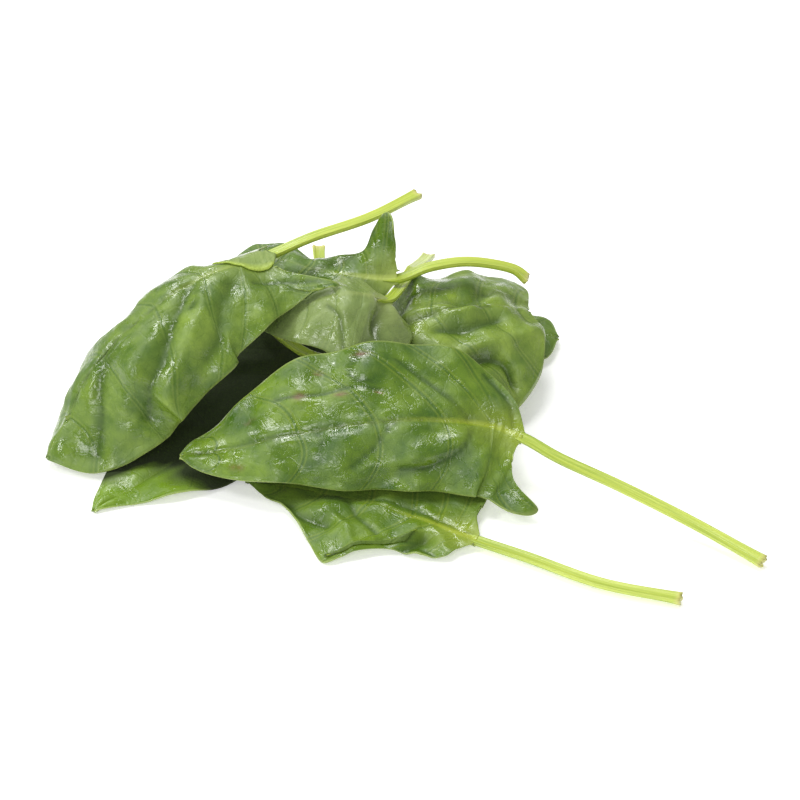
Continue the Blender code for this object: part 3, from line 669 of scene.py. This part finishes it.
def leaf_skin_group():
    """Colour, roughness, water film and relief of a leaf's skin, with each leaf's own greens."""
    group = bpy.data.node_groups.new("leaf_skin", "ShaderNodeTree")
    for name, kind, value in (
        ("Green", "NodeSocketColor", (0.12, 0.24, 0.03, 1)),
        ("Deep green", "NodeSocketColor", (0.05, 0.13, 0.015, 1)),
        ("Vein green", "NodeSocketColor", (0.30, 0.42, 0.08, 1)),
        ("Margin", "NodeSocketColor", (0.35, 0.45, 0.10, 1)),
        ("Brown", "NodeSocketColor", (0.19, 0.07, 0.045, 1)),
        ("Vein height", "NodeSocketFloat", -0.1),
        ("Driest", "NodeSocketFloat", 0.5),
        ("Wettest", "NodeSocketFloat", 0.1),
        ("Darkest", "NodeSocketFloat", 0.9),
    ):
        group.interface.new_socket(name, in_out="INPUT", socket_type=kind).default_value = value
    for name, kind in (
        ("Colour", "NodeSocketColor"),
        ("Roughness", "NodeSocketFloat"),
        ("Film", "NodeSocketFloat"),
        ("Height", "NodeSocketFloat"),
    ):
        group.interface.new_socket(name, in_out="OUTPUT", socket_type=kind)
    n = Nodes(group)
    given = group.nodes.new("NodeGroupInput")
    made = group.nodes.new("NodeGroupOutput")
    flat = n.read("flat", "Vector")
    reach, along = n.read("reach"), n.read("along")
    vein, gap, rib, bruise = n.read("vein"), n.read("vein_gap"), n.read("rib"), n.read("bruise")
    groove, shelter = n.read("groove"), n.between(n.read("shelter"), 0.15, 0.5)

    step = n.math("FRACT", n.plus(vein, 0.5))
    vein_away = n.times(n.math("ABSOLUTE", n.math("SUBTRACT", step, 0.5)), gap)
    side_vein = n.between(vein_away, 0.05, 0.4, 1.0, 0.0)
    # The shoulders just beside each side vein, for painted light.
    beside = n.math("ABSOLUTE", n.math("SUBTRACT", vein_away, 0.75))
    shoulder = n.times(n.between(beside, 0.0, 0.5, 1.0, 0.0), n.between(gap, 2.0, 6.0, 0.0, 1.0))
    side_vein = n.times(side_vein, n.between(reach, 0.2, 1.0, 1.0, 0.25))
    side_vein = n.times(side_vein, n.between(gap, 1.0, 5.0, 0.2, 1.0))
    half_shadow = n.times(n.between(vein_away, 0.3, 2.2, 1.0, 0.0), n.between(gap, 1.0, 5.0))
    midrib = n.times(n.between(rib, 0.25, 0.75, 1.0, 0.0), n.between(along, 0.0, 0.4, 1.0, 0.1))
    wander = n.clouds(flat, 0.35, 2.0, output="Color")
    bent = n.put("VectorMath", {0: flat, 1: wander}, operation="ADD").outputs[0]
    net, fine_net = (
        n.put("TexVoronoi", {"Vector": bent, "Scale": scale}, feature="DISTANCE_TO_EDGE").outputs["Distance"]
        for scale in (0.26, 0.75)
    )
    net_vein = n.between(net, 0.0, 0.10, 1.0, 0.0)
    fine_vein = n.between(fine_net, 0.0, 0.12, 1.0, 0.0)
    broad, mottle = n.clouds(flat, 0.055, 3.0), n.clouds(flat, 0.22, 4.0, 0.6)
    grain, film = n.clouds(flat, 1.6, 3.0, 0.7), n.clouds(flat, 0.12, 5.0, 0.65)

    depth = n.plus(n.times(n.between(broad, 0.3, 0.7), 0.55), n.times(mottle, 0.5))
    colour = n.mix(n.between(depth, 0.25, 0.95), given.outputs["Deep green"], given.outputs["Green"])
    # Painted shade in the hollows either side of each side vein.
    colour = n.mix(n.times(half_shadow, 0.5), colour, given.outputs["Deep green"])
    soft_net = n.plus(n.times(net_vein, 0.14), n.times(fine_vein, 0.06))
    colour = n.mix(soft_net, colour, given.outputs["Deep green"])
    # Painted light: the shoulders beside the side veins are made paler.
    colour = n.mix(n.times(shoulder, 0.22), colour, given.outputs["Vein green"])
    # Painted shade along the side veins and in the sunk wrinkles and creases.
    lines = n.math("MAXIMUM", n.times(side_vein, 0.6), n.times(groove, 0.9))
    colour = n.mix(lines, colour, given.outputs["Deep green"])
    colour = n.mix(n.times(groove, 0.4), colour, CREASE_SHADE_GREEN)
    colour = n.mix(midrib, colour, given.outputs["Vein green"])
    base = n.times(n.between(along, 0.0, 0.25, 0.75, 0.0), n.between(rib, 0.0, 6.0, 1.0, 0.0))
    colour = n.mix(base, colour, given.outputs["Vein green"])
    colour = n.mix(n.between(reach, 0.975, 1.0, 0.0, 0.7), colour, given.outputs["Margin"])
    hurt = n.times(bruise, n.between(mottle, 0.25, 0.5))
    colour = n.mix(n.times(hurt, 0.85), colour, given.outputs["Brown"])
    # Painted shade: near black where other leaves hide the sky, as dark as the leaf's Darkest allows.
    colour = n.mix(n.times(shelter, given.outputs["Darkest"]), colour, PAINTED_SHADE_GREEN)
    n.set(made.inputs["Colour"], colour)

    wet = n.times(n.between(film, 0.45, 0.56), n.between(shelter, 0.0, 0.7, 1.0, 0.0))
    rough = n.put("Mix", {0: wet, 2: given.outputs["Driest"], 3: given.outputs["Wettest"]}).outputs[0]
    rough = n.math("MAXIMUM", rough, shelter)
    n.set(made.inputs["Roughness"], rough)
    n.set(made.inputs["Film"], wet)
    vein_height = given.outputs["Vein height"]
    height = n.times(net_vein, vein_height)
    height = n.plus(height, n.times(fine_vein, n.times(vein_height, 0.35)))
    height = n.plus(height, n.times(side_vein, vein_height))
    height = n.plus(height, n.times(mottle, 0.6))
    height = n.plus(height, n.times(grain, 0.12))
    n.set(made.inputs["Height"], height)
    return group


leaf_skin = leaf_skin_group()


def new_material(name):
    """An empty material and its nodes."""
    made = bpy.data.materials.new(name)
    made.use_nodes = True
    return made, Nodes(made.node_tree)


def leaf_material(name, colours, coat, specular, **values):
    """A leaf's finish: living skin from the shared group, under a film of water."""
    made, n = new_material(name)
    skin = n.put("Group")
    skin.node_tree = leaf_skin
    for key, value in {**colours, **values}.items():
        skin.inputs[key].default_value = value
    bump = n.put("Bump", {"Height": skin.outputs["Height"], "Strength": 0.55, "Distance": 1.0 * MM})
    shader = n.put(
        "BsdfPrincipled",
        {
            "Base Color": skin.outputs["Colour"],
            "Roughness": skin.outputs["Roughness"],
            "Normal": bump.outputs["Normal"],
            "Specular IOR Level": specular,
            "Coat Weight": n.times(skin.outputs["Film"], coat),
            "Coat Roughness": 0.15,
        },
    )
    n.put("OutputMaterial", {"Surface": shader.outputs["BSDF"]})
    return made


def greens(green, deep, vein, margin=(0.36, 0.46, 0.12)):
    """A leaf's greens: between veins, for dark patches and painted shade, on and beside veins, at the margin.
    """
    return {
        "Green": (*green, 1),
        "Deep green": (*deep, 1),
        "Vein green": (*vein, 1),
        "Margin": (*margin, 1),
    }


LOWER = greens((0.33, 0.43, 0.095), (0.22, 0.32, 0.055), (0.36, 0.45, 0.11))
UNDERSIDE = {"Vein height": 0.2, "Driest": 0.62, "Wettest": 0.45}


def underside(name, lower=LOWER, darkest=0.95):
    """Material of a dull, paler underside, and how dark its painted shade gets under other leaves."""
    return leaf_material(name + "_underside", lower, coat=0.1, specular=0.3, Darkest=darkest, **UNDERSIDE)


def two_faces(name, upper, darkest=0.95):
    """Materials of a glossy upper face and its underside."""
    glossy = leaf_material(name + "_upper", upper, coat=0.2, specular=0.6, Darkest=darkest)
    return glossy, underside(name, darkest=darkest)


# Stalk skin: pale yellow-green, streaked lengthwise, greener towards the blade and straw-coloured at the torn
# end.


def stalk_material(name, pale, green, straw):
    """A stalk's finish, damp and finely streaked."""
    made, n = new_material(name)
    turn, run, near_blade = n.read("turn"), n.read("run"), n.read("near_blade")
    lines = n.put("CombineXYZ", {"X": n.times(turn, 14.0), "Y": n.times(run, 0.035)}).outputs[0]
    streak, patch = n.clouds(lines, 1.0, 4.0, 0.6), n.clouds(lines, 0.35, 1.0)
    share = n.times(n.between(streak, 0.35, 0.65), n.between(patch, 0.35, 0.65, 0.45, 1.0))
    share = n.math("ADD", share, n.between(near_blade, 0.55, 1.0, 0.0, 0.35), clamp=True)
    colour = n.mix(share, (*pale, 1), (*green, 1))
    colour = n.mix(n.between(run, 0.3, 2.2, 0.75, 0.0), colour, (*straw, 1))
    bump = n.put("Bump", {"Height": streak, "Strength": 1.0, "Distance": 0.25 * MM})
    shader = n.put(
        "BsdfPrincipled",
        {
            "Base Color": colour,
            "Roughness": n.between(streak, 0.3, 0.7, 0.34, 0.5),
            "Normal": bump.outputs["Normal"],
            "Coat Weight": 0.35,
            "Coat Roughness": 0.2,
        },
    )
    n.put("OutputMaterial", {"Surface": shader.outputs["BSDF"]})
    return made


stalk_skin = stalk_material(
    "stalk_skin", pale=(0.62, 0.72, 0.11), green=(0.30, 0.43, 0.025), straw=(0.70, 0.66, 0.22)
)
dressed = []


def lay_leaf(leaf, faces):
    """Lays one leaf on those already there, and makes its blade and stalk."""
    laid = LaidLeaf(leaf)
    laid.lay([one for one, _, _ in dressed])
    dressed.append((laid, blade_piece(laid, faces), stalk_piece(laid)))
    return dressed[-1]


lay_leaf(
    Leaf(
        "hidden",
        stalk=((-48, 83, 3.2), (-28, 76, 3.2), (-5, 66, 3.4)),
        midrib=((-5, 66, 3.4), (15, 60, 4), (35, 57, 5), (54, 56, 4)),
        halves=(
            (
                (0, 2), (0, 7), (-1, 12), (-3, 18), (6, 20), (12, 19),
                (22, 20), (33, 19), (46, 16), (58, 10), (62, 0),
            ),
            (
                (0, 2), (0, 7), (-1, 12), (-3, 18), (6, 20), (12, 19),
                (22, 20), (33, 19), (46, 17), (58, 11), (62, 0),
            ),
        ),
        curl=((10, 10), (10, 10)),
        crumple=1.0,
        seed=1,
    ),
    two_faces(
        "hidden_leaf", greens((0.167, 0.287, 0.021), (0.06, 0.137, 0.008), (0.3, 0.4, 0.036)), darkest=0.4
    ),
)

# The low leaf
# The crumpled, yellower leaf that lies on the table under the front one, its blade running down its stalk.
low, low_blade, _ = lay_leaf(
    Leaf(
        "low",
        stalk=((86, -76, 3.2), (62, -69, 3.2), (40, -57, 3.2), (24, -49, 3.4)),
        midrib=((24, -49, 3.4), (6, -39, 3.4), (-12, -31, 3.4), (-30, -25, 3.4), (-50, -19, 3)),
        halves=(
            (
                (0, 2.2), (3, 6), (5, 11), (12, 14), (24, 17), (34, 24),
                (42, 29), (51, 21), (61, 10), (71, 5), (79, 0),
            ),
            (
                (0, 2.2), (2, 5), (5, 10), (6, 18), (13, 23), (22, 22),
                (34, 22), (48, 20), (60, 16), (71, 9), (79, 0),
            ),
        ),
        fold=((0, 0), (-10, -5)),
        curl=((10, 10), (0, 0)),
        crumple=2.4,
        seed=2,
        creases=(
            (((33, -22), (26, -18), (20, -12), (19, -5)), 1.6, 3.0),
            (((30, -26), (20, -17), (14, -8)), -1.4, 3.0),
            (((62, -8), (57, -12), (48, -13)), -1.3, 2.8),
            (((50, -6), (40, -3), (33, 1)), 1.2, 3.0),
            (((15, -3), (9, -6), (5, -9)), 1.0, 2.6),
        ),
        wrinkles=(
            (((2, 1), (14, 2), (26, 3), (36, 2)), -0.5, 1.2),
            (((35, -25), (26, -21), (18, -15), (15, -7)), -0.7, 1.8),
            (((62, -8), (57, -12), (48, -13)), -0.6, 1.3),
            (((50, -9), (42, -12), (36, -19)), 0.9, 1.6),
            (((14, -12), (8, -13), (6, -18)), -0.7, 1.4),
            (((44, -2), (38, -8), (30, -12)), -0.7, 1.2),
        ),
    ),
    two_faces("low_leaf", greens((0.21, 0.33, 0.014), (0.08, 0.165, 0.006), (0.4, 0.48, 0.05)), darkest=0.35),
)

# The under leaf
# A flat, even leaf that lies on the table below the left one. It is the yellowest, and mostly in shade.
lay_leaf(
    Leaf(
        "under",
        stalk=((-28, 87, 20), (-28, 74, 14), (-34, 54, 9)),
        midrib=((-34, 54, 9), (-53, 17, 3), (-77, -13, 1.9), (-98, -33, 1.4)),
        halves=(
            (
                (0, 2), (0, 8), (-3, 15), (-5, 21), (5, 24), (20, 24),
                (40, 25), (62, 24), (82, 15), (96, 6), (108, 0),
            ),
            (
                (0, 2), (0, 8), (-3, 15), (-5, 21), (5, 24), (19, 23),
                (37, 25), (57, 25), (80, 17), (100, 7), (108, 0),
            ),
        ),
        curl=((8, 8), (10, 10)),
        crumple=1.2,
        seed=3,
    ),
    two_faces("under_leaf", greens((0.232, 0.378, 0.021), (0.128, 0.238, 0.011), (0.312, 0.425, 0.044))),
)

# The right leaf
# Crumpled and light green, behind the front leaf. Its stalk runs back out of sight.
lay_leaf(
    Leaf(
        "right",
        stalk=((-44, 82, 8), (-49, 66, 11), (-43, 49, 13), (-26, 34, 12)),
        midrib=((-26, 34, 12), (-6, 34, 21), (12, 37, 27), (29, 43, 27), (43, 48, 21)),
        halves=(
            (
                (0, 2), (0, 8), (-2, 15), (-4, 21), (8, 24), (22, 24),
                (38, 24), (54, 24), (71, 25), (82, 18), (75, 0),
            ),
            (
                (0, 2), (0, 8), (2, 15), (5, 21), (13, 27), (27, 34),
                (46, 41), (64, 40), (74, 27), (77, 11), (75, 0),
            ),
        ),
        fold=((0, 0), (5, 5)),
        curl=((5, 20), (40, 40)),
        crumple=3.0,
        seed=4,
        creases=(
            (((31, -2), (40, -2), (47, 0), (53, 1)), 2.2, 3.0),
            (((48, 16), (59, 16), (69, 13), (75, 11)), 1.8, 3.0),
            (((40, 6), (50, 8), (62, 6)), -1.6, 3.2),
            (((48, 21), (55, 22), (61, 26), (64, 31)), -2.4, 3.0),
            (((62, -8), (56, -4), (50, -3)), -2.0, 3.0),
        ),
        wrinkles=(
            (((6, 0), (30, 0), (60, 0)), -0.8, 1.3),
            (((40, 6), (50, 8), (62, 6)), -0.7, 1.3),
            (((20, 8), (30, 14), (42, 18)), -0.7, 1.3),
            (((48, 21), (55, 22), (61, 26), (64, 31)), -0.9, 1.6),
            (((28, -4), (34, -10), (42, -14)), -0.7, 1.2),
            (((44, 30), (54, 33), (62, 34)), 0.8, 1.6),
        ),
    ),
    two_faces("right_leaf", greens((0.3, 0.42, 0.06), (0.09, 0.17, 0.015), (0.42, 0.5, 0.12)), darkest=0.5),
)

# The back leaf
# It lies across the back with an arched stalk, and its near basal lobe stands up like a finger.
lay_leaf(
    Leaf(
        "back",
        stalk=((43, 54, 30), (37, 55, 34), (23, 53, 38), (10, 50, 38), (-1, 46, 36)),
        midrib=((-1, 46, 36), (-13, 44, 38), (-28, 48, 38), (-42, 56, 37), (-55, 64, 32)),
        halves=(
            (
                (0, 2), (2, 3), (5, 7), (9, 13), (14, 17), (22, 17),
                (32, 17), (42, 16), (52, 13), (59, 7), (61, 0),
            ),
            (
                (0, 2), (0, 7), (-3, 14), (4, 22), (9, 17), (13, 10),
                (24, 9), (36, 10), (47, 11), (58, 9), (61, 0),
            ),
        ),
        fold=((30, 20, 10, 0), (-70, -10, 5, 0)),
        curl=((60, 50, 30, 20), (0, 0, 30, 20)),
        seed=5,
    ),
    two_faces("back_leaf", greens((0.14, 0.26, 0.01), (0.06, 0.13, 0.005), (0.5, 0.6, 0.14)), darkest=0.4),
)

# The centre leaf
# Small, pale and folded along its midrib, it stands in the middle and faces the viewer.
lay_leaf(
    Leaf(
        "centre",
        stalk=((10, 84, 18), (4, 60, 27), (0, 45, 32), (-4, 34, 36)),
        midrib=((-4, 34, 36), (-9, 29, 41), (-17, 26, 44), (-27, 26, 41), (-38, 28, 35), (-50, 31, 29)),
        halves=(
            (
                (0, 2), (0, 6), (-2, 12), (2, 20), (10, 25), (18, 26),
                (24, 24), (31, 17), (40, 12), (50, 6), (58, 0),
            ),
            (
                (0, 2), (0, 5), (-1, 9), (2, 12), (8, 13), (16, 13),
                (24, 13), (32, 12), (41, 10), (50, 6), (58, 0),
            ),
        ),
        fold=((35, 30), (-10, 20)),
        curl=((30, 10), (60, 60)),
        wave=(0.8, 24.0, 0.0),
        beneath="back",
        seed=6,
        creases=(
            (((4, -3), (8, -10), (11, -17)), -1.6, 2.6),
            (((20, -6), (13, -5), (6, -3)), 1.0, 3.0),
        ),
        wrinkles=(
            (((25, -3), (22, -7), (22, -12), (23, -19)), -0.8, 1.2),
            (((6, -2), (7, -8), (7, -15), (6, -22)), -1.2, 3.0),
            (((2, -3), (1, -8), (-1, -15)), 0.9, 1.4),
            (((12, -5), (11, -10), (10, -16)), 0.6, 1.3),
        ),
    ),
    two_faces("centre_leaf", greens((0.3, 0.39, 0.12), (0.17, 0.25, 0.06), (0.36, 0.44, 0.13)), darkest=0.3),
)

# The left leaf
# A big one. Its midrib runs down a ridge from the top of the heap, and both halves fall away from it.
left, left_blade, left_stalk = lay_leaf(
    Leaf(
        "left",
        stalk=((6, 74, 51), (-10, 60, 51), (-29, 50, 50), (-44, 43, 47)),
        midrib=(
            (-44, 43, 47), (-57, 35, 48), (-69, 28, 47), (-77, 22, 44),
            (-86, 16, 39), (-96, 10, 32), (-103, 4, 23), (-109, -3, 12), (-115, -9, 3),
        ),
        halves=(
            (
                (0, 2), (-1, 9), (-15, 24), (-6, 22), (8, 25), (24, 31),
                (42, 34), (62, 36), (82, 33), (99, 18), (104, 0),
            ),
            (
                (0, 2), (0, 6), (-4, 11), (2, 15), (12, 19), (25, 24),
                (40, 26), (60, 26), (82, 21), (96, 12), (104, 0),
            ),
        ),
        fold=((0, 5, 5), (10, 5, 18, 40)),
        curl=((45, 50, 25), (100, 100, 60)),
        seed=7,
        creases=(
            (((29, -2), (40, -8), (47, -13), (58, -20), (76, -26)), -1.6, 3.0),
            (((48, -9), (62, -14), (75, -17)), 1.5, 3.5),
            (((30, -10), (40, -16), (50, -21), (62, -29)), 1.3, 3.5),
            (((63, -2), (74, -6), (84, -11), (95, -15)), -1.3, 3.0),
            (((17, -8), (24, -14), (30, -21), (41, -26)), -1.5, 3.0),
        ),
        wrinkles=(
            (((6, 0), (30, 0), (60, 0), (90, 0)), -0.7, 1.2),
            (((44, -3), (56, -4), (66, -3), (80, -5)), 0.8, 1.2),
            (((31, -3), (47, -13), (56, -19), (76, -25)), -0.7, 1.0),
            (((65, 0), (81, -10), (87, -12), (96, -15)), -0.7, 0.9),
            (((-10, -20), (0, -14), (10, -10)), -0.6, 1.2),
            (((33, -9), (35, -9.5)), -1.0, 2.0),
        ),
    ),
    two_faces("left_leaf", greens((0.25, 0.37, 0.045), (0.07, 0.145, 0.01), (0.34, 0.44, 0.09))),
)

# The left leaf's far lobe
# A piece of the left leaf's own blade: its far basal lobe is folded over towards the viewer and lies on the
# end of the stalk, dull underside up, with a bright margin.
FLAP_ROWS = 25
FLAP_COLUMNS = 11
FLAP_RIM = 0.08
FLAP_AIR = 0.3
FLAP_VEINS = 2
FLAP_VEIN_GAP = 6.0
FLAP_PATTERN = 130.0
FLAP_FROM_RIB = 10.0
FLAP_ALONG = 0.3
flaps = []


def lay_flap(name, laid, pieces, fold_line, margin, bulge, face):
    """A part of a blade folded over, laid on its leaf's pieces. Both lines are on the flat blade."""
    along, over, quads = grid(np.linspace(0, 1, FLAP_ROWS), np.linspace(0, 1, FLAP_COLUMNS))
    x, y = (spread(fold_line, along) * (1 - over)[:, None] + spread(margin, along) * over[:, None]).T
    at, right, up = laid.spine.frame(x)
    sideways, down, _ = turned_down(laid.leaf, laid.length, x, y)
    points = at + right * (np.sign(y) * sideways)[:, None] - up * down[:, None]
    bearers = []
    for piece in pieces:
        corners = [vertex.co / MM for vertex in piece.data.vertices]
        facets = [tuple(facet.vertices) for facet in piece.data.polygons]
        bearers.append(BVHTree.FromPolygons(corners, facets))
    for point, share in zip(points, over):
        tops = [top_at(tree, point[0], point[1]) for tree in bearers]
        top = max([top for top in tops if top is not None], default=max(point[2], LEAF_SHEET))
        rise = LEAF_SHEET + FLAP_AIR * share + bulge * math.sin(math.pi * share)
        point[2] = top + rise
    mesh = sheet_mesh(name, points, quads)
    give(
        mesh,
        vein=0.5 + FLAP_VEINS * along,
        vein_gap=np.full(len(over), FLAP_VEIN_GAP),
        flat=np.stack([x, y, np.full(len(x), FLAP_PATTERN)], axis=1),
        rib=np.full(len(over), FLAP_FROM_RIB),
        along=np.full(len(over), FLAP_ALONG),
        reach=over**FLAP_RIM,
    )
    mesh.materials.append(face)
    flap = placed(name, mesh)
    solid = flap.modifiers.new("thickness", "SOLIDIFY")
    solid.thickness = LEAF_SHEET * MM
    solid.offset = -1
    flaps.append(flap)


lay_flap(
    "left_lobe",
    left,
    (left_blade, left_stalk),
    fold_line=((14, 4), (9, 4), (4, 4), (0, 3), (-3, -2)),
    margin=((18, 4), (13, 1), (8, -5), (3, -7), (0, -6)),
    bulge=0.3,
    face=underside(
        "left_lobe", greens((0.34, 0.44, 0.13), (0.22, 0.31, 0.08), (0.42, 0.5, 0.16), (0.5, 0.64, 0.08))
    ),
)

# The low leaf's turned edge
# A piece of the low leaf's own blade: its near edge has curled over, so that a strip of the dull underside
# lies on top, with a bright margin.
lay_flap(
    "low_edge",
    low,
    (low_blade,),
    fold_line=((43, -27), (37, -24.5), (30, -19.5), (24, -15.5), (19, -12)),
    margin=((42, -26.5), (35, -21.5), (27, -16), (21, -11), (18, -6)),
    bulge=0.3,
    face=underside(
        "low_edge", greens((0.15, 0.24, 0.03), (0.09, 0.15, 0.02), (0.22, 0.3, 0.06), (0.45, 0.6, 0.05))
    ),
)

# The front leaf
# It lies across the front of the heap, whole and smooth, with a few brown bruises, on the longest stalk.
lay_leaf(
    Leaf(
        "front",
        stalk=((113, -59, 3), (91, -43, 6), (70, -31, 10), (51, -22, 14), (39, -15, 17)),
        midrib=((39, -15, 17), (26, -12, 20), (0, -15, 24), (-32, -18, 21), (-51, -19, 16), (-71, -16, 10)),
        halves=(
            (
                (0, 2), (0, 8), (-6, 14), (-16, 19), (-11, 25), (6, 27),
                (30, 26), (56, 24), (80, 16), (105, 7), (114, 0),
            ),
            (
                (0, 2), (3, 6), (7, 12), (13, 19), (22, 26), (36, 28),
                (54, 28), (71, 26), (88, 19), (108, 7), (114, 0),
            ),
        ),
        roll=(-20, -25, -15),
        fold=((5, 10, 10), (-5, -5, 0)),
        curl=((22, 40, 30), (10, 10, 10)),
        seed=8,
        creases=(
            (((36, -12), (28, -10), (21, -6)), 1.2, 4.0),
            (((42, -19), (33, -18), (25, -16), (18, -11)), -1.2, 3.0),
            (((44, 19), (48, 20)), 1.4, 4.5),
            (((77, -2), (82, -1)), 0.8, 4.0),
        ),
        wrinkles=(
            (((6, 0), (30, 0), (60, 0), (84, 0), (106, 0)), -0.8, 1.4),
            (((18, 1), (27, 10), (34, 16), (39, 21)), -0.8, 1.3),
            (((43, -1), (51, -10), (59, -15)), -0.7, 1.2),
            (((41, -17), (33, -17), (26, -14), (20, -10), (17, -4)), -0.8, 1.2),
            (((78, 13), (66, 12), (56, 13), (45, 11)), -0.6, 1.1),
            (((50, 24), (54, 20), (53, 15), (48, 14)), -0.6, 1.3),
            (((68, 1), (66, -5), (68, -12)), -0.5, 1.0),
            (((4, 2), (8, 10), (14, 18)), -0.5, 1.2),
        ),
        bruises=(
            (50, 24, 2.0, 0.9),
            (71, 12, 1.6, 1.3),
            (58, 11, 1.8, 0.8),
            (88, 8, 1.2, 1.0),
            (94, -7, 1.4, 1.0),
            (64, 20, 0.9, 0.7),
            (46, 10, 0.8, 0.6),
        ),
    ),
    two_faces("front_leaf", greens((0.2, 0.32, 0.02), (0.05, 0.12, 0.006), (0.35, 0.44, 0.04))),
)

# Painted shade: each blade's colour darkens where the other leaves hide the sky from it.
give_shelter(dressed)

# Every leaf was laid in the heap's own place, and moves to where the solids stand, over the origin. A margin
# or a stalk's end that would reach past the solids' box is drawn in by that little.
BOX_ROOM = 0.05 * MM
off = []
for laid, _, _ in dressed:
    low_corner, high_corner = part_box(laid.leaf.name + "_blade")
    middle = (laid.coarse.min(axis=0) + laid.coarse.max(axis=0)) / 2 * MM
    off.append(np.array((low_corner + high_corner) / 2) - middle)
shift = np.array([*np.mean(off, axis=0)[:2], 0.0])
for flap in flaps:
    for vertex in flap.data.vertices:
        vertex.co += Vector(shift)
    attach(flap, "root")
box_low, box_high = (np.array(corner) + inward for corner, inward in zip(cad_box, (BOX_ROOM, -BOX_ROOM)))
for laid, blade, stalk in dressed:
    for piece, node, finish in ((blade, "_blade", "blade"), (stalk, "_stalk", "stalk")):
        points = np.array([vertex.co for vertex in piece.data.vertices]) + shift
        low, high = points.min(axis=0), points.max(axis=0)
        half = (np.minimum(high, box_high) - np.maximum(low, box_low)) / 2
        points = (points - (low + high) / 2) * (2 * half / (high - low)) + np.maximum(low, box_low) + half
        piece.data.vertices.foreach_set("co", points.ravel())
        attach(piece, "root")
        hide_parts(laid.leaf.name + node)

# The table
# A plain white table top, wide enough to fill the view and lit from below, so that hardly a shadow is seen.
TABLE_HALF = 3.0
top = bmesh.new()
bmesh.ops.create_grid(top, x_segments=1, y_segments=1, size=TABLE_HALF)
table = placed("table", made_mesh("table", top))
white, n = new_material("white_table")
shader = n.put(
    "BsdfPrincipled",
    {
        "Base Color": (0.93, 0.93, 0.93, 1),
        "Roughness": 0.8,
        "Emission Color": (1, 1, 1, 1),
        "Emission Strength": 0.35,
    },
)
n.put("OutputMaterial", {"Surface": shader.outputs["BSDF"]})
table.data.materials.append(white)

# The camera and the light
# The camera looks down at the near side from a metre off. The light is soft all round, from a white sky and
# four broad lamps: overhead, at the back, at the left and at the front.
LOOK_AT = np.array([0.0, 26.0, 0.0]) * MM + shift
LOOK_DOWN = math.radians(38)
AWAY = 1.0
eye = bpy.data.cameras.new("camera")
eye.lens = 135
eye.sensor_width = 36
camera = placed("camera", eye)
camera.location = Vector(LOOK_AT) + AWAY * Vector((0, -math.cos(LOOK_DOWN), math.sin(LOOK_DOWN)))
camera.rotation_euler = (math.pi / 2 - LOOK_DOWN, 0, 0)
bpy.context.scene.camera = camera

world = bpy.data.worlds.new("studio")
world.use_nodes = True
world.node_tree.nodes["Background"].inputs["Color"].default_value = (1, 1, 1, 1)
world.node_tree.nodes["Background"].inputs["Strength"].default_value = 0.38
bpy.context.scene.world = world
for name, place, size, power in (
    ("overhead_lamp", (-0.15, 0.25, 1.2), 0.5, 6),
    ("back_lamp", (-0.4, 0.9, 0.9), 0.25, 4),
    ("left_lamp", (-1.0, -0.1, 0.95), 0.3, 5),
    ("front_lamp", (-0.3, -1.0, 0.8), 0.6, 5),
):
    lamp = bpy.data.lights.new(name, "AREA")
    lamp.shape = "DISK"
    lamp.size = size
    lamp.energy = power
    holder = placed(name, lamp)
    holder.location = place
    holder.rotation_euler = (Vector(LOOK_AT) - Vector(place)).to_track_quat("-Z", "Y").to_euler()
bpy.context.scene.view_settings.view_transform = "Standard"
